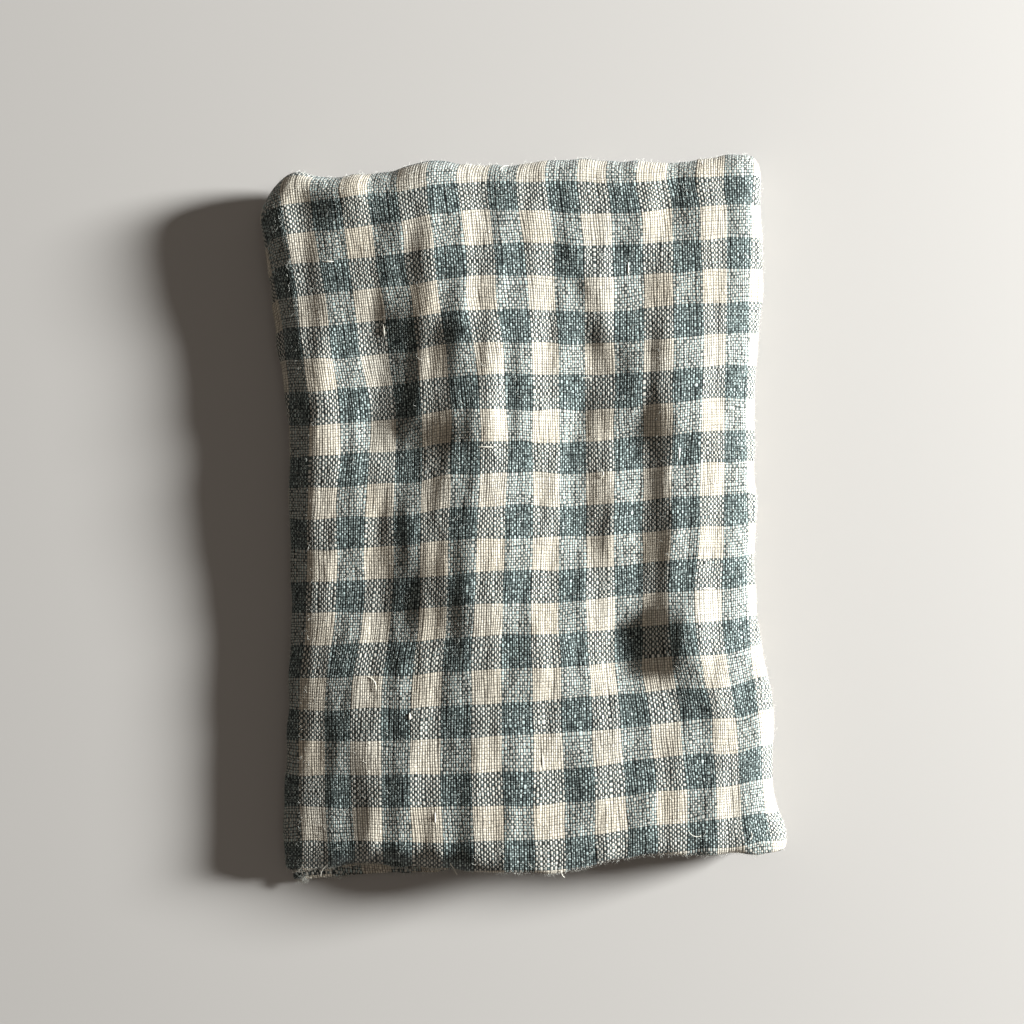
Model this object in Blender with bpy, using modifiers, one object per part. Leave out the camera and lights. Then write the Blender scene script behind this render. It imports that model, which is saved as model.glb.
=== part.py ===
"""Linen bread bag, folded flat into an oblong packet and laid on its back.

The bag is one length of linen, doubled over at the bottom and closed along both
sides, open and hemmed at the mouth.  It is folded as a person folds it: both
sides turned to the back so that they almost meet at the middle, then the long
strip halved crosswise with the smooth face outside.  Top edge of the packet:
the crosswise fold.  Bottom edge: the bag's bottom above, its mouth below.

Frame: +X across the packet, +Y along it towards the crosswise fold, +Z up.
The origin is under the packet's middle, on the surface that it rests on.
Lengths in the constants and tables are millimetres.
"""

import math

import bmesh
import bpy
import numpy as np

MM = 0.001

# ---- the bag, flat ---------------------------------------------------------
CLOTH = 1.35  # linen with its nap, as thick as it lies in the loose stack
INSIDE_GAP = 1.0  # between the bag's front and back
BAG_WIDTH = 308.0  # side seam to side seam
HEM_DEPTH = 20.0  # turned edge round the mouth
HEM_EXTRA = 0.2  # what the turned edge adds to the cloth's thickness, inwards

# ---- the packet ------------------------------------------------------------
PACKET_TOP = 114.0  # crosswise fold, before its waves
BAG_END = -114.0  # bag's bottom, in the upper half
MOUTH_END = -111.5  # bag's mouth, in the lower half
FLAP_GAP = 1.7  # between the strip and its turned-in sides
HALF_GAP = 1.5  # between the packet's two halves
SEAM_GAP = 1.3  # half of the least space between the turned-in sides
CENTRE = (0.022, -0.446)  # shifts the outline's middle onto the origin

HALF_BAG = CLOTH + INSIDE_GAP / 2  # half the flat bag's thickness
SIDE_R = HALF_BAG + FLAP_GAP / 2  # side folds, at the bag's middle
STRIP = 2 * SIDE_R + 2 * HALF_BAG  # thickness of the strip, sides turned in
TOP_R = STRIP / 2 + HALF_GAP / 2  # crosswise fold, at the strip's middle
STACK = 2 * TOP_R + STRIP  # thickness of the even packet
FOLD_Y = PACKET_TOP - TOP_R - STRIP / 2  # axis of the crosswise fold
T_UP = FOLD_Y - BAG_END  # distances from the bag's bottom along the strip
T_DOWN = T_UP + math.pi * TOP_R
BAG_LENGTH = T_DOWN + FOLD_Y - MOUTH_END

# Side edges of the packet, and how the cloth is drawn in between them:
# shift is where the bag's middle line runs, take_up how far puckers shorten it.
EDGES = [
    # y, left, right, shift, take_up
    (118.0, -83.6, 74.8, -4.2, 0.990),
    (85.0, -82.7, 75.4, -3.7, 0.985),
    (61.0, -79.5, 74.5, -3.0, 0.965),
    (36.0, -75.4, 73.1, -2.0, 0.950),
    (0.0, -74.5, 73.1, -1.6, 0.945),
    (-34.0, -74.2, 74.0, -1.0, 0.950),
    (-50.0, -75.0, 77.4, -0.8, 0.960),
    (-66.0, -75.6, 79.3, -0.5, 0.970),
    (-84.0, -76.6, 79.3, -0.2, 0.980),
    (-98.0, -76.6, 82.4, 0.0, 0.985),
    (-118.0, -75.6, 83.8, 0.0, 0.990),
]

# The lower half lies a little inside the upper one, more at the mouth.
LOWER_IN = [
    # y, left_in, right_in
    (118.0, 0.0, 0.0),
    (70.0, 0.6, 1.0),
    (0.0, 0.2, 0.6),
    (-60.0, 1.4, 1.8),
    (-118.0, 1.8, 3.2),
]

# Waves of the crosswise fold and of the two ends: how far each lies beyond
# its even line, positive away from the packet's middle for the fold and
# positive towards the fold for the ends.
TOP_WAVE = [
    # x, rise
    (-84.0, -14.0),
    (-78.0, -7.2),
    (-72.5, -3.9),
    (-65.0, -4.9),
    (-50.0, -4.2),
    (-40.0, -2.6),
    (-30.0, 0.0),
    (-17.0, -1.8),
    (-5.0, -1.7),
    (11.0, 0.6),
    (30.0, -0.2),
    (51.0, -1.2),
    (66.0, 1.5),
    (76.0, 1.6),
]
END_WAVE = [
    # x, upper, lower
    (-77.0, -2.0, 0.4),
    (-60.0, 0.0, -1.0),
    (-40.0, 0.8, 0.6),
    (8.0, 0.5, 1.4),
    (24.0, 3.8, 1.0),
    (42.0, 7.0, 3.2),
    (62.0, 6.0, 4.6),
    (84.0, 5.9, 3.6),
]

# Soft troughs (height below zero) and ridges of the upper face.
RELIEF = [
    # x, y, half_length, half_width, angle from +Y, height
    (15.0, 78.0, 15.0, 6.0, 6.0, -1.9),
    (24.0, 48.0, 18.0, 6.5, -8.0, -2.3),
    (43.0, 50.0, 22.0, 6.5, 0.0, -2.4),
    (48.0, 104.0, 10.0, 6.0, 0.0, -1.5),
    (-31.0, 52.0, 22.0, 7.0, -10.0, -2.1),
    (-45.0, 103.0, 12.0, 6.5, 8.0, -1.7),
    (6.0, 52.0, 20.0, 6.5, 8.0, 1.8),
    (-17.0, 72.0, 30.0, 8.0, 4.0, 1.5),
    (33.0, 62.0, 20.0, 6.0, 0.0, 0.9),
    (58.0, 60.0, 30.0, 8.0, 0.0, 1.1),
    (-60.0, 62.0, 30.0, 9.0, -14.0, 1.0),
    (41.0, 2.0, 34.0, 8.0, 2.0, -1.7),
    (-28.0, 0.0, 34.0, 9.0, -3.0, -1.1),
    (8.0, 0.0, 34.0, 9.0, 0.0, 1.2),
    (39.0, -45.0, 11.0, 8.0, 0.0, -2.6),
    (46.0, -66.0, 16.0, 6.5, -14.0, -1.4),
    (25.0, -53.0, 14.0, 7.0, 10.0, 1.8),
    (17.0, -86.0, 12.0, 6.0, 0.0, -1.1),
    (-45.0, -70.0, 30.0, 12.0, 20.0, 0.7),
    (-76.0, 104.0, 14.0, 10.0, 45.0, -2.6),
]
CROWN = 1.0  # how much the middle stands above the edges
FOLD_SWELL = 0.13  # the crosswise fold is this much thicker than the rest

# ---- how finely the cloth is divided ---------------------------------------
FLAP_STEPS, SIDE_STEPS, FACE_STEPS = 3, 5, 12
UPPER_STEPS, FOLD_STEPS, LOWER_STEPS = 13, 7, 10


def smooth(v):
    v = np.clip(v, 0.0, 1.0)
    return v * v * (3 - 2 * v)


def column(table, name_index):
    rows = sorted(table)
    return np.array([r[0] for r in rows]), np.array([r[name_index] for r in rows])


def along(v, table, name_index):
    """Smooth curve through one column of a table, flat past its ends."""
    x, y = column(table, name_index)
    v = np.clip(v, x[0], x[-1])
    slope = np.gradient(y, x)
    i = np.clip(np.searchsorted(x, v, side="right") - 1, 0, len(x) - 2)
    h = x[i + 1] - x[i]
    u = (v - x[i]) / h
    return (
        y[i] * (1 + 2 * u) * (1 - u) ** 2
        + slope[i] * h * u * (1 - u) ** 2
        + y[i + 1] * u * u * (3 - 2 * u)
        + slope[i + 1] * h * u * u * (u - 1)
    )


def side_lines(t):
    """Where both side folds lie at t, in the packet (x) and on the bag (s)."""
    theta = np.clip((t - T_UP) / TOP_R, 0.0, math.pi)
    y = np.where(t < T_UP, BAG_END + t, FOLD_Y - (t - T_DOWN))
    y = np.where((t >= T_UP) & (t <= T_DOWN), FOLD_Y + STRIP * np.sin(theta), y)
    lower = smooth((t - T_UP) / (T_DOWN - T_UP))
    left = along(y, EDGES, 1) + lower * along(y, LOWER_IN, 1)
    right = along(y, EDGES, 2) - lower * along(y, LOWER_IN, 2)
    shift = along(y, EDGES, 3) * (1 - lower)
    take_up = along(y, EDGES, 4)
    left, right = left + SIDE_R + HALF_BAG, right - SIDE_R - HALF_BAG
    return left, right, (left - shift) / take_up, (right - shift) / take_up, shift, take_up


def turn_sides(s, t, a):
    """The flat bag (s across, t along, a through) with its sides folded behind."""
    left, right, s_left, s_right, shift, take_up = side_lines(t)
    arc = math.pi * SIDE_R
    flap_left = BAG_WIDTH / 2 + s_left - arc
    flap_right = BAG_WIDTH / 2 - s_right - arc
    end_left, end_right = left + flap_left, right - flap_right
    middle = (end_left + end_right) / 2
    apart = (end_right - end_left) / 2
    apart = SEAM_GAP + np.where(
        apart - SEAM_GAP > 8, apart - SEAM_GAP, np.log1p(np.exp(np.minimum(apart - SEAM_GAP, 8)))
    )
    pull_left = (middle - apart - left) / flap_left
    pull_right = (right - middle - apart) / flap_right

    x = shift + take_up * s
    h = a.copy()
    for sign, at, fold, pull in (
        (-1, left, s_left, pull_left),
        (1, right, s_right, pull_right),
    ):
        past = sign * (s - fold)
        phi = np.clip(past, 0, arc) / SIDE_R
        turning = (past > 0) & (past <= arc)
        x = np.where(turning, at + sign * (SIDE_R + a) * np.sin(phi), x)
        h = np.where(turning, -SIDE_R + (SIDE_R + a) * np.cos(phi), h)
        behind = past > arc
        x = np.where(behind, at - sign * (past - arc) * pull, x)
        h = np.where(behind, -2 * SIDE_R - a, h)
    return x, h


def halve(t, h):
    """The strip bent round its crosswise fold, its smooth face outside."""
    k = h + SIDE_R
    theta = np.clip((t - T_UP) / TOP_R, 0.0, math.pi)
    y = FOLD_Y + np.minimum(t - T_UP, 0.0) + (TOP_R + k) * np.sin(theta)
    y = np.where(t > T_DOWN, FOLD_Y - (t - T_DOWN), y)
    z = (TOP_R + k) * np.cos(theta) + STACK / 2
    return y, z


def relief(x, y):
    height = CROWN * (1 - (x / 84.0) ** 2) * (1 - (y / 122.0) ** 2)
    for cx, cy, half_length, half_width, angle, rise in RELIEF:
        c, s = math.cos(math.radians(angle)), math.sin(math.radians(angle))
        across = ((x - cx) * c + (y - cy) * s) / half_width
        lengthways = (-(x - cx) * s + (y - cy) * c) / half_length
        height = height + rise * np.exp(-0.5 * (across**2 + lengthways**2) * 1.4)
    return height


def fold(s, t, a):
    """A point of the flat bag, in the folded packet."""
    x, h = turn_sides(s, t, a)
    y, z = halve(t, h)
    lower = smooth((t - T_UP) / (T_DOWN - T_UP))
    ends = along(x, END_WAVE, 1) * (1 - lower) + along(x, END_WAVE, 2) * lower
    y2 = y + along(x, TOP_WAVE, 1) * smooth((y - 25.0) / 88.0)
    y2 = y2 + ends * smooth((10.0 - y) / 118.0)
    up = z / STACK
    z2 = z * (1 + FOLD_SWELL * smooth((y - 55.0) / 50.0))
    z2 = z2 + relief(x, y2) * np.maximum(up, 0.0) ** 1.6
    return x - CENTRE[0], y2 - CENTRE[1], z2


def pinch(distance, radius):
    """How far the bag's two faces stand apart, this near to an edge where they meet."""
    return np.sqrt(np.clip(1 - (1 - np.clip(distance / radius, 0, 1)) ** 2, 0, 1))


def stations(lengths_and_steps):
    """Running distances: each stretch is divided evenly into its own steps."""
    out = [0.0]
    for length, steps in lengths_and_steps:
        out += [out[-1] + length * (i + 1) / steps for i in range(steps)]
    return np.array(out)


def flat_bag():
    """The bag flat and open at the mouth: its cloth's middle surface, with Solidify."""
    mid = HALF_BAG - CLOTH / 2
    long_half = stations(
        [
            (0.3 * mid, 1),
            (0.7 * mid, 1),
            (T_UP - mid, UPPER_STEPS),
            (T_DOWN - T_UP, FOLD_STEPS),
            (BAG_LENGTH - T_DOWN - HEM_DEPTH, LOWER_STEPS),
            (HEM_DEPTH, 1),
        ]
    )
    across_steps = 2 * (FLAP_STEPS + 2 + SIDE_STEPS) + FACE_STEPS
    rows = 2 * (len(long_half) - 1)
    bpy.ops.mesh.primitive_grid_add(
        x_subdivisions=across_steps, y_subdivisions=rows, size=2
    )
    bag = bpy.context.active_object
    mesh = bag.data
    flat = np.empty(len(mesh.vertices) * 3)
    mesh.vertices.foreach_get("co", flat)
    flat = flat.reshape(-1, 3)
    i = np.rint((flat[:, 0] + 1) / 2 * across_steps).astype(int)
    j = np.rint((flat[:, 1] + 1) / 2 * rows).astype(int) - rows // 2
    t = long_half[np.abs(j)]

    _, _, s_left, s_right, _, _ = side_lines(t)
    half, arc = BAG_WIDTH / 2, math.pi * SIDE_R
    n = FLAP_STEPS + 2
    # Each row's own stations: side edge, turned-in side, side fold, face, and back.
    flap_at = np.concatenate(
        [[0.0, 0.3 * mid, mid], mid + np.arange(1, FLAP_STEPS + 1) / FLAP_STEPS]
    )
    s = np.empty(len(t))
    for v in range(len(t)):
        row = []
        length = half + s_left[v] - arc
        for step in range(n + 1):
            d = flap_at[step]
            row.append(-half + (d if step < 3 else mid + (d - mid) * (length - mid)))
        row += [s_left[v] - arc + arc * q / SIDE_STEPS for q in range(1, SIDE_STEPS + 1)]
        row += [
            s_left[v] + (s_right[v] - s_left[v]) * q / FACE_STEPS
            for q in range(1, FACE_STEPS + 1)
        ]
        row += [s_right[v] + arc * q / SIDE_STEPS for q in range(1, SIDE_STEPS + 1)]
        length = half - s_right[v] - arc
        for step in range(n - 1, -1, -1):
            d = flap_at[step]
            row.append(half - (d if step < 3 else mid + (d - mid) * (length - mid)))
        s[v] = row[i[v]]
    apart = mid * pinch(half - np.abs(s), mid) * pinch(t, mid)
    a = np.where(j > 0, -apart, apart)
    mesh.vertices.foreach_set("co", np.column_stack([s, t, a]).ravel())
    mesh.update()

    bm = bmesh.new()
    bm.from_mesh(mesh)
    bmesh.ops.remove_doubles(bm, verts=bm.verts, dist=0.01)
    bmesh.ops.recalc_face_normals(bm, faces=bm.faces)
    bm.to_mesh(mesh)
    bm.free()

    shell = bag.modifiers.new("cloth", "SOLIDIFY")
    shell.thickness = CLOTH
    shell.offset = 0.0
    shell.use_rim = True
    return bag


def folded(flat):
    """The flat bag's closed mesh, each of its points taken to the folded packet."""
    graph = bpy.context.evaluated_depsgraph_get()
    mesh = bpy.data.meshes.new_from_object(flat.evaluated_get(graph))
    bpy.data.objects.remove(flat, do_unlink=True)
    co = np.empty(len(mesh.vertices) * 3)
    mesh.vertices.foreach_get("co", co)
    co = co.reshape(-1, 3)
    s, t, a = co[:, 0], co[:, 1], co[:, 2]
    hem = smooth((t - (BAG_LENGTH - HEM_DEPTH)) / 1.0)
    inside = np.abs(a) < HALF_BAG - CLOTH / 2
    a = a - np.sign(a) * hem * HEM_EXTRA * inside
    x, y, z = fold(s, t, a)
    mesh.vertices.foreach_set("co", (np.column_stack([x, y, z]) * MM).ravel())
    mesh.update()
    return mesh


def linen():
    material = bpy.data.materials.new("linen_check")
    material.use_nodes = True
    shader = material.node_tree.nodes["Principled BSDF"]
    shader.inputs["Base Color"].default_value = (0.24, 0.26, 0.22, 1.0)
    shader.inputs["Roughness"].default_value = 0.9
    shader.inputs["Metallic"].default_value = 0.0
    material.diffuse_color = (0.24, 0.26, 0.22, 1.0)
    return material


def main():
    for obj in list(bpy.data.objects):
        bpy.data.objects.remove(obj, do_unlink=True)
    collection = bpy.data.collections.new("linen_bread_bag")
    bpy.context.scene.collection.children.link(collection)

    mesh = folded(flat_bag())
    mesh.name = "bag"
    mesh.materials.append(linen())
    mesh.shade_smooth()
    bag = bpy.data.objects.new("bag", mesh)
    collection.objects.link(bag)


main()
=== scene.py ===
"""Looks of the folded linen bread bag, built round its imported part.

The cloth is folded here as the part is, from the same tables, but finely, with
its puckers, uneven edges and single threads.  Lengths in the tables are
millimetres; the frame is the part's own, in metres.
"""

import math

import bmesh
import bpy
import numpy as np
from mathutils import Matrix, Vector


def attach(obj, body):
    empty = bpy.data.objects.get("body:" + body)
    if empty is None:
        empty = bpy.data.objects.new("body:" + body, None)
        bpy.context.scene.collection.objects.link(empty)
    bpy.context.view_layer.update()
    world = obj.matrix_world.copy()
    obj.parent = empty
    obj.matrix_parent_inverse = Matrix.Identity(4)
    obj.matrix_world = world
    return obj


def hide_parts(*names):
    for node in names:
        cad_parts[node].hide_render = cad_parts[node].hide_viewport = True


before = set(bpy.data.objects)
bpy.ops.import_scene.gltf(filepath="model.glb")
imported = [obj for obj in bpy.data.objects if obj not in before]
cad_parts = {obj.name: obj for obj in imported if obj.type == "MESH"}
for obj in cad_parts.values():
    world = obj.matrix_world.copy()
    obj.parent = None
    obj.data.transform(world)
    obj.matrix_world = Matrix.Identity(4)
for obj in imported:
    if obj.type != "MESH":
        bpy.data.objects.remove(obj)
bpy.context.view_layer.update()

MM = 0.001

# ---------------------------------------------------------------------------
# The bag and how it is folded, as in the part
# ---------------------------------------------------------------------------
CLOTH = 1.35
INSIDE_GAP = 1.0
BAG_WIDTH = 308.0
HEM_DEPTH = 20.0

PACKET_TOP = 114.0
BAG_END = -114.0
MOUTH_END = -111.5
FLAP_GAP = 1.7
HALF_GAP = 1.5
SEAM_GAP = 1.3
CENTRE = (0.022, -0.446)

HALF_BAG = CLOTH + INSIDE_GAP / 2
SIDE_R = HALF_BAG + FLAP_GAP / 2
STRIP = 2 * SIDE_R + 2 * HALF_BAG
TOP_R = STRIP / 2 + HALF_GAP / 2
STACK = 2 * TOP_R + STRIP
FOLD_Y = PACKET_TOP - TOP_R - STRIP / 2
T_UP = FOLD_Y - BAG_END
T_DOWN = T_UP + math.pi * TOP_R
BAG_LENGTH = T_DOWN + FOLD_Y - MOUTH_END

EDGES = [
    # y, left, right, shift, take_up
    (118.0, -83.6, 74.8, -4.2, 0.990),
    (85.0, -82.7, 75.4, -3.7, 0.985),
    (61.0, -79.5, 74.5, -3.0, 0.965),
    (36.0, -75.4, 73.1, -2.0, 0.950),
    (0.0, -74.5, 73.1, -1.6, 0.945),
    (-34.0, -74.2, 74.0, -1.0, 0.950),
    (-50.0, -75.0, 77.4, -0.8, 0.960),
    (-66.0, -75.6, 79.3, -0.5, 0.970),
    (-84.0, -76.6, 79.3, -0.2, 0.980),
    (-98.0, -76.6, 82.4, 0.0, 0.985),
    (-118.0, -75.6, 83.8, 0.0, 0.990),
]
LOWER_IN = [
    # y, left_in, right_in
    (118.0, 0.0, 0.0),
    (70.0, 0.6, 1.0),
    (0.0, 0.2, 0.6),
    (-60.0, 1.4, 1.8),
    (-118.0, 1.8, 3.2),
]
TOP_WAVE = [
    # x, rise
    (-84.0, -13.0),
    (-78.0, -6.0),
    (-72.5, -3.1),
    (-65.0, -4.1),
    (-50.0, -3.3),
    (-40.0, -2.0),
    (-30.0, 0.9),
    (-17.0, -0.8),
    (-5.0, -1.0),
    (11.0, 1.2),
    (30.0, 0.8),
    (53.0, 0.3),
    (66.0, 2.8),
    (76.0, 2.9),
]
END_WAVE = [
    # x, upper, lower
    (-77.0, -1.2, -7.0),
    (-67.0, 0.2, -5.9),
    (-58.0, 0.9, -5.8),
    (-48.0, 1.6, -5.8),
    (-36.0, 1.4, -4.9),
    (-24.0, 0.8, -3.6),
    (-14.0, 0.8, -1.2),
    (-4.0, 1.9, 2.4),
    (8.0, 1.2, 2.0),
    (24.0, 4.0, 1.6),
    (42.0, 7.4, 3.6),
    (62.0, 6.9, 5.2),
    (84.0, 7.4, 5.0),
]
FOLD_SWELL = 0.13
CROWN = 1.0
# How far the side edges bulge past the part's.
EDGE_OUT = [
    # y, left_out, right_out
    (118.0, 0.8, -0.2),
    (110.5, 1.9, 0.6),
    (104.0, 0.8, 1.2),
    (97.0, 0.2, 1.2),
    (90.0, -0.9, 1.0),
    (83.0, -0.5, 0.9),
    (74.0, 0.6, 1.8),
    (60.0, 1.1, 1.6),
    (34.0, 1.4, 1.4),
    (0.0, 1.5, 1.8),
    (-24.0, 1.4, 1.6),
    (-36.0, 1.3, 0.6),
    (-55.0, 1.4, 0.5),
    (-66.0, 0.8, 1.6),
    (-80.0, 0.8, 1.2),
    (-87.0, 1.3, 0.3),
    (-94.0, 1.8, -0.8),
    (-101.0, 1.9, -1.0),
    (-108.0, 1.8, 0.9),
    (-118.0, 1.6, 1.8),
]

# ---------------------------------------------------------------------------
# What is finer here than in the part
# ---------------------------------------------------------------------------
PLY = 0.85  # the linen itself
OUTSIDE = 1.72  # its outer face, from the bag's middle
MID = OUTSIDE - PLY / 2

# Soft troughs (height below zero) and ridges of the upper face: each runs from
# one point to another, and fades out past both.
PLEATS = [
    # x, y, to_x, to_y, half_width, fade, height
    (16.0, 28.0, 18.0, -4.0, 5.0, 14.0, -0.9),
    (30.0, 28.0, 29.0, -6.0, 5.0, 12.0, 0.7),
    (37.5, 28.0, 36.5, -24.0, 5.0, 12.0, -1.0),
    (50.0, 26.0, 50.0, -32.0, 7.0, 14.0, 0.9),
    (-42.0, 22.0, -44.0, -24.0, 9.0, 16.0, -1.2),
    (-15.0, 22.0, -14.0, -30.0, 10.0, 14.0, 1.0),
    (-60.0, 98.0, -62.0, 70.0, 6.0, 12.0, 0.5),
    (48.0, 108.0, 46.0, 96.0, 4.0, 6.0, -1.2),
    (-16.0, 106.0, -14.0, 96.0, 4.0, 6.0, -0.7),
    (-44.0, 108.0, -46.0, 92.0, 5.0, 7.0, -1.0),
    (-78.0, 108.0, -68.0, 98.0, 7.0, 9.0, -2.2),
    (33.0, -60.0, 36.0, -74.0, 6.0, 9.0, -0.5),
    (-62.0, 50.0, -62.5, 36.0, 9.0, 12.0, 1.0),
    (-5.0, 46.0, -5.0, 34.0, 3.6, 7.0, -0.5),
]

# Creases with one steep side: the cloth steps up to the right across the line,
# and eases back over the low and the high reach.
CREASES = [
    # x, y, to_x, to_y, half_width, fade, step, low_reach, high_reach
    (-48.0, 89.0, -49.0, 73.0, 20.0, 14.0, 4.6, 60.0, 60.0),
    (-35.6, 80.0, -34.8, 71.0, 4.6, 6.0, 1.0, 30.0, 22.0),
    (-39.6, 60.0, -40.6, 32.0, 6.4, 7.0, 3.2, 60.0, 60.0),
    (-24.5, 72.0, -24.5, 61.0, 8.0, 7.0, 1.1, 40.0, 40.0),
    (-24.6, 55.0, -22.6, 30.0, 12.4, 8.0, 4.6, 60.0, 32.0),
    (-40.0, 25.0, -39.0, -26.0, 6.4, 9.0, 1.4, 40.0, 40.0),
    (-22.2, 22.0, -20.4, -26.0, 9.4, 8.0, 2.0, 50.0, 32.0),
    (14.6, 82.0, 18.2, 73.0, 2.8, 4.5, 1.2, 12.0, 10.0),
    (18.6, 71.0, 23.4, 56.0, 3.6, 6.0, 0.9, 16.0, 14.0),
    (23.8, 54.0, 24.6, 34.0, 4.6, 7.0, 2.1, 20.0, 30.0),
    (32.2, 51.0, 35.4, 28.0, 7.0, 8.0, 2.1, 20.0, 30.0),
    (41.8, 76.0, 41.8, 58.0, 5.2, 8.0, 1.45, 14.0, 20.0),
    (41.8, 52.0, 42.0, 34.0, 5.4, 8.0, 1.8, 30.0, 20.0),
    (42.0, 26.0, 41.4, -26.0, 6.6, 8.0, 1.5, 30.0, 24.0),
    (24.6, 26.0, 25.2, -10.0, 5.0, 10.0, 0.9, 20.0, 20.0),
    (40.2, -34.0, 42.6, -46.0, 10.6, 4.4, 7.6, 18.0, 26.0),
    (46.0, -50.0, 53.0, -61.0, 5.4, 5.0, 1.7, 12.0, 14.0),
    (-19.8, -42.0, -19.0, -104.0, 5.4, 12.0, 1.2, 40.0, 34.0),
    (-10.6, -40.0, -10.2, -100.0, 6.4, 10.0, 0.7, 14.0, 16.0),
    (-57.6, -38.0, -57.0, -54.0, 3.4, 6.0, 0.9, 10.0, 12.0),
    (-59.5, -66.0, -58.0, -101.0, 8.6, 8.0, 1.5, 20.0, 22.0),
    (-40.4, -38.0, -40.2, -47.0, 3.2, 6.0, 0.9, 10.0, 12.0),
    (-47.0, -82.0, -46.0, -94.0, 10.0, 6.0, 1.5, 16.0, 22.0),
    (17.4, -82.0, 19.6, -91.0, 3.6, 5.0, 0.8, 7.0, 9.0),
    (57.0, -54.0, 58.2, -59.0, 3.0, 5.0, 0.8, 6.0, 8.0),
    (-38.6, -61.0, -38.0, -68.0, 4.4, 5.0, 0.8, 8.0, 9.0),
    (-1.0, -38.0, 1.0, -54.0, 6.0, 6.0, 0.9, 14.0, 14.0),
]

# The face slopes down towards its side edges, and rolls over them: how far
# inside the edge the slope starts, how far it sinks there, and the roll.
SHOULDERS = [
    # y, left_start, left_drop, left_roll, right_start, right_drop, right_roll
    (118.0, 24.0, 1.4, 2.0, 20.0, 1.4, 2.0),
    (96.0, 24.0, 2.2, 5.0, 21.0, 1.0, 2.8),
    (60.0, 19.0, 2.4, 5.8, 21.0, 0.9, 3.1),
    (36.0, 18.0, 1.7, 4.5, 20.0, 0.9, 3.0),
    (0.0, 38.0, 4.4, 5.0, 20.0, 1.1, 3.0),
    (-34.0, 58.0, 7.4, 4.0, 21.0, 1.7, 3.0),
    (-66.0, 60.0, 8.0, 3.4, 20.0, 2.1, 3.0),
    (-118.0, 62.0, 8.0, 3.0, 18.0, 2.4, 3.0),
]
# It rolls over the bottom edge too, most of all on the left.
END_ROLL = [
    # x, roll
    (-80.0, 3.0),
    (-62.0, 6.6),
    (-50.0, 9.4),
    (-38.0, 9.0),
    (-22.0, 7.6),
    (-12.0, 2.6),
    (20.0, 1.4),
    (84.0, 1.2),
]
ROLL_WIDTH = 9.0

# ---------------------------------------------------------------------------
# Where the checks lie on the upper face
# ---------------------------------------------------------------------------
CHECK = 12  # threads across one check
WARP_PITCH = 0.79
WEFT_PITCH = 0.89
EYE = (-3.68, 1.6)
EYE_HEIGHT = 470.0
OUTLINE_HEIGHT = 16.2  # where the packet is widest: COLUMNS and ROWS are true there

# Left edges of the pale columns, numbered 1 to 9 from the left, after the left
# edge of the dark one before them.
COLUMNS = [
    # y, d1, c1, c2, c3, c4, c5, c6, c7, c8, c9
    (107.8, -86.6, -78.2, -59.7, -41.1, -21.6, -2.4, 16.8, 35.9, 54.9, 73.4),
    (99.8, -84.8, -77.3, -58.4, -40.2, -20.6, -1.8, 17.8, 37.3, 56.2, 73.0),
    (90.2, -82.5, -75.7, -57.4, -38.7, -19.5, -0.5, 18.6, 37.9, 56.5, 72.6),
    (81.6, -80.9, -74.4, -56.2, -38.1, -18.4, 0.3, 19.2, 38.1, 57.0, 72.5),
    (69.4, -78.4, -72.3, -54.2, -35.7, -18.2, 1.4, 19.4, 38.4, 57.4, 72.1),
    (53.4, -76.0, -70.7, -52.3, -34.1, -15.8, 2.6, 19.7, 38.4, 57.4, 71.8),
    (37.4, -74.9, -68.6, -49.4, -32.8, -13.9, 3.0, 19.7, 38.2, 57.0, 71.1),
    (0.0, -75.6, -69.2, -50.4, -33.0, -14.6, 2.9, 20.0, 38.0, 56.3, 71.6),
    (-39.4, -76.6, -70.0, -52.3, -34.1, -16.2, 2.4, 20.3, 37.9, 55.5, 72.2),
    (-49.0, -77.6, -71.2, -54.2, -35.5, -16.6, 2.7, 21.0, 37.9, 57.4, 73.1),
    (-61.8, -78.0, -71.6, -55.0, -35.9, -16.5, 2.9, 21.6, 40.2, 60.0, 74.9),
    (-73.0, -78.2, -71.8, -55.2, -36.3, -16.8, 3.0, 22.1, 40.8, 60.4, 75.7),
    (-87.4, -78.2, -71.6, -55.0, -36.4, -16.8, 3.2, 22.7, 42.3, 61.6, 76.4),
    (-105.0, -77.6, -70.9, -53.9, -35.4, -15.8, 3.5, 23.2, 42.7, 61.8, 79.4),
]

# Lines between dark and pale rows near the middle, from the bottom one up.
ROWS = [
    -112.3, -103.2, -91.8, -81.0, -69.4, -58.7, -48.0, -37.4, -27.2, -17.0, -6.7,
    3.5, 13.8, 24.0, 34.2, 45.0, 55.5, 66.2, 77.3, 87.8, 98.2, 107.5,
]

# How far the rows have sunk below that middle line.
ROW_SAG = [
    # x, top, waist_top, waist_low, bottom
    (-82.1, 9.9, 6.4, 4.2, 0.0),
    (-76.0, 8.0, 5.4, 3.5, 0.0),
    (-67.4, 6.8, 5.0, 3.4, 0.0),
    (-57.1, 5.8, 4.2, 3.2, 0.3),
    (-38.9, 3.6, 2.9, 2.6, 0.6),
    (-25.1, 1.3, 0.3, 1.6, 0.6),
    (-7.5, 0.3, -0.6, 0.6, 0.3),
    (6.9, 0.5, 0.0, -0.1, 0.0),
    (24.5, 1.1, 0.0, -1.3, -1.9),
    (42.1, 0.4, -1.6, -3.2, -4.8),
    (56.5, -1.1, -3.2, -4.1, -6.1),
    (69.3, -1.5, -3.5, -5.2, -7.5),
    (75.7, -1.5, -3.5, -7.4, -9.0),
]
SAG_LEVELS = (88.6, 43.8, -49.0, -106.6)

# ---------------------------------------------------------------------------
# How finely the cloth is divided
# ---------------------------------------------------------------------------
FLAP_STEPS, SIDE_STEPS, FACE_STEPS = 3, 11, 100
UPPER_STEPS, FOLD_STEPS, LOWER_STEPS = 128, 16, 26


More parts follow.
